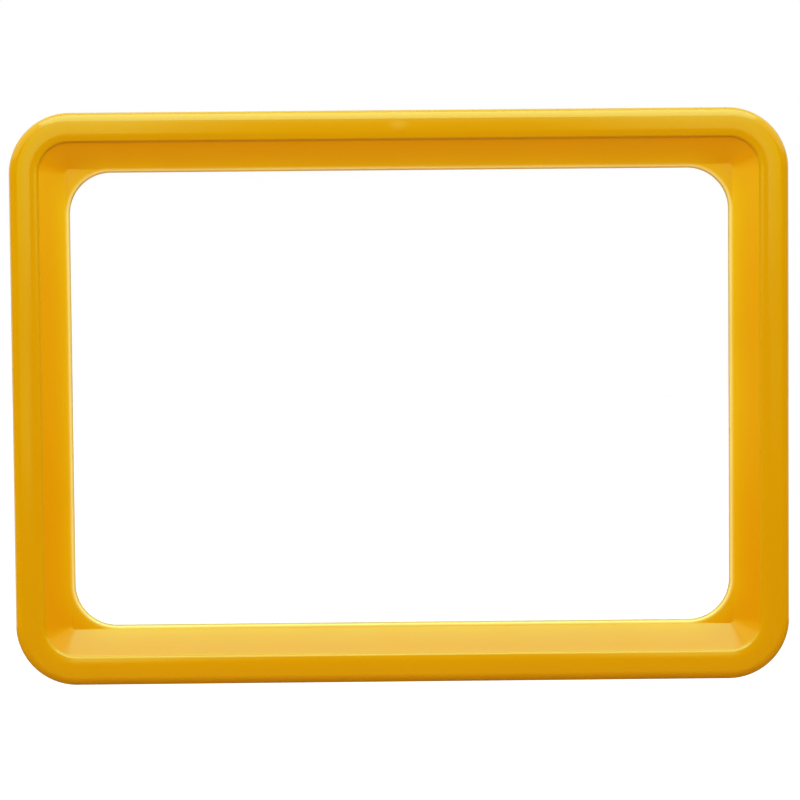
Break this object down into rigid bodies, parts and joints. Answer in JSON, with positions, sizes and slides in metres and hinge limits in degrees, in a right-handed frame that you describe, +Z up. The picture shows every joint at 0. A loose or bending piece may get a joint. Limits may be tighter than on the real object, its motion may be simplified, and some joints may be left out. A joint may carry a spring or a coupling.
{
  "type": "sign frame",
  "caption": "Landscape sign frame with round corners and a raised bead, made of two half shells round a clear pocket that slides out of one short side.",
  "frame": {"origin": "centre of the opening, on the plane where the two half shells meet", "axes": "+X along the width towards the slot, +Y to the back, +Z up; the front faces -Y"},
  "size_m": [0.331, 0.012, 0.244],
  "materials": {
    "yellow_plastic": "glossy moulded styrene",
    "clear_film": "clear film"
  },
  "bodies": {
    "frame": {"front_shell": "yellow_plastic", "rear_shell": "yellow_plastic"},
    "pocket": {"clear_pocket": "clear_film"},
    "top_left_plug": {"plug_top_left": "yellow_plastic"},
    "top_right_plug": {"plug_top_right": "yellow_plastic"},
    "bottom_left_plug": {"plug_bottom_left": "yellow_plastic"},
    "bottom_right_plug": {"plug_bottom_right": "yellow_plastic"},
    "side_plug": {"plug_side": "yellow_plastic"}
  },
  "joints": [
    {"name": "pocket_slide", "type": "slide", "parent": "frame", "child": "pocket", "axis": [1, 0, 0], "range_m": [0, 0.29]},
    {"name": "top_left_plug_pull", "type": "slide", "parent": "frame", "child": "top_left_plug", "axis": [0, 0, 1], "range_m": [0, 0.012]},
    {"name": "top_right_plug_pull", "type": "slide", "parent": "frame", "child": "top_right_plug", "axis": [0, 0, 1], "range_m": [0, 0.012]},
    {"name": "bottom_left_plug_pull", "type": "slide", "parent": "frame", "child": "bottom_left_plug", "axis": [0, 0, -1], "range_m": [0, 0.012]},
    {"name": "bottom_right_plug_pull", "type": "slide", "parent": "frame", "child": "bottom_right_plug", "axis": [0, 0, -1], "range_m": [0, 0.012]},
    {"name": "side_plug_pull", "type": "slide", "parent": "frame", "child": "side_plug", "axis": [-1, 0, 0], "range_m": [0, 0.012]}
  ]
}
